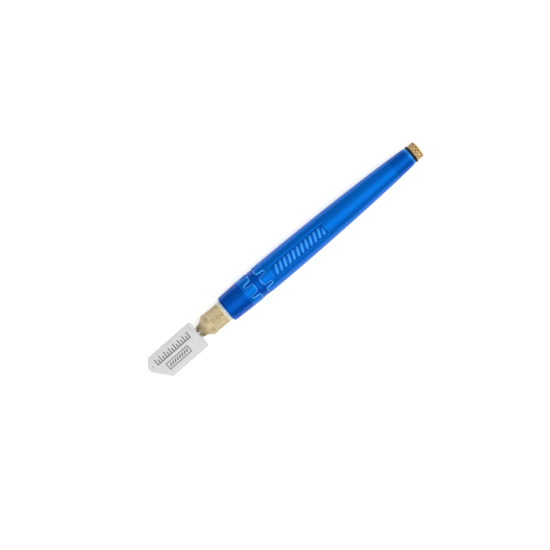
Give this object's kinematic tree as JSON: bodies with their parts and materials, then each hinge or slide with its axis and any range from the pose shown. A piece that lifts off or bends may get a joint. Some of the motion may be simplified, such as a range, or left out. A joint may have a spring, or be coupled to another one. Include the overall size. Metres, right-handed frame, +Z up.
{
  "type": "glass cutter",
  "caption": "Oil-fed pencil-grip glass cutter: carbide wheel in a swivelling steel head, brass ferrule with oil valve, translucent reservoir handle and screw filler cap.",
  "frame": {"origin": "under the middle of the tool's length, on the surface that the fattest ring of the barrel rests on", "axes": "+X along the tool's axis from the cutting tip towards the filler cap, +Z up out of the head's flat face, +Y towards the side of the head that the cutting tip is offset to"},
  "size_m": [0.1742, 0.0163, 0.0156],
  "materials": {
    "plated_steel": "satin plated",
    "steel": "turned, bright",
    "carbide": "ground",
    "brass": "turned and knurled",
    "blue_plastic": "translucent, polished",
    "clear_plastic": "clear",
    "rubber": "matt",
    "felt": "felt"
  },
  "bodies": {
    "handle": {"barrel": "blue_plastic", "ferrule": "brass", "head_set_screw": "brass", "shank_seal": "rubber", "valve_seat": "rubber", "valve_spring": "steel", "spring_retainer": "brass", "ferrule_washer": "clear_plastic"},
    "plunger": {"push_rod": "steel", "valve_ball": "steel"},
    "head": {"head_block": "plated_steel", "head_shank": "steel", "swivel_key_pin": "steel", "wheel_axle": "steel", "oil_wick": "felt"},
    "wheel": {"cutting_wheel": "carbide"},
    "cap_seal": {"cap_o_ring": "rubber"},
    "cap": {"filler_cap": "brass"}
  },
  "joints": [
    {"name": "head_press", "type": "slide", "parent": "handle", "child": "plunger", "axis": [1, 0, 0], "range_m": [0, 0.0004], "stiffness_N_per_m": 2500, "springref_m": -0.0006, "deforming": ["valve_spring"]},
    {"name": "head_swivel", "type": "hinge", "parent": "plunger", "child": "head", "pos_m": [-0.0552, 0, 0.0078], "axis": [1, 0, 0], "range_deg": [-3, 3]},
    {"name": "wheel_spin", "type": "hinge", "parent": "head", "child": "wheel", "pos_m": [-0.08464, 0.00151, 0.0078], "axis": [0, 0, 1], "continuous": true},
    {"name": "cap_travel", "type": "slide", "parent": "handle", "child": "cap_seal", "axis": [1, 0, 0], "range_m": [0, 0.012]},
    {"name": "cap_turn", "type": "hinge", "parent": "cap_seal", "child": "cap", "pos_m": [0.0795, 0, 0.0078], "axis": [1, 0, 0], "range_deg": [0, 4320]}
  ],
  "couplings": [
    {"joint": "cap_turn", "follows": "cap_travel", "rad_per_m": 6283}
  ]
}
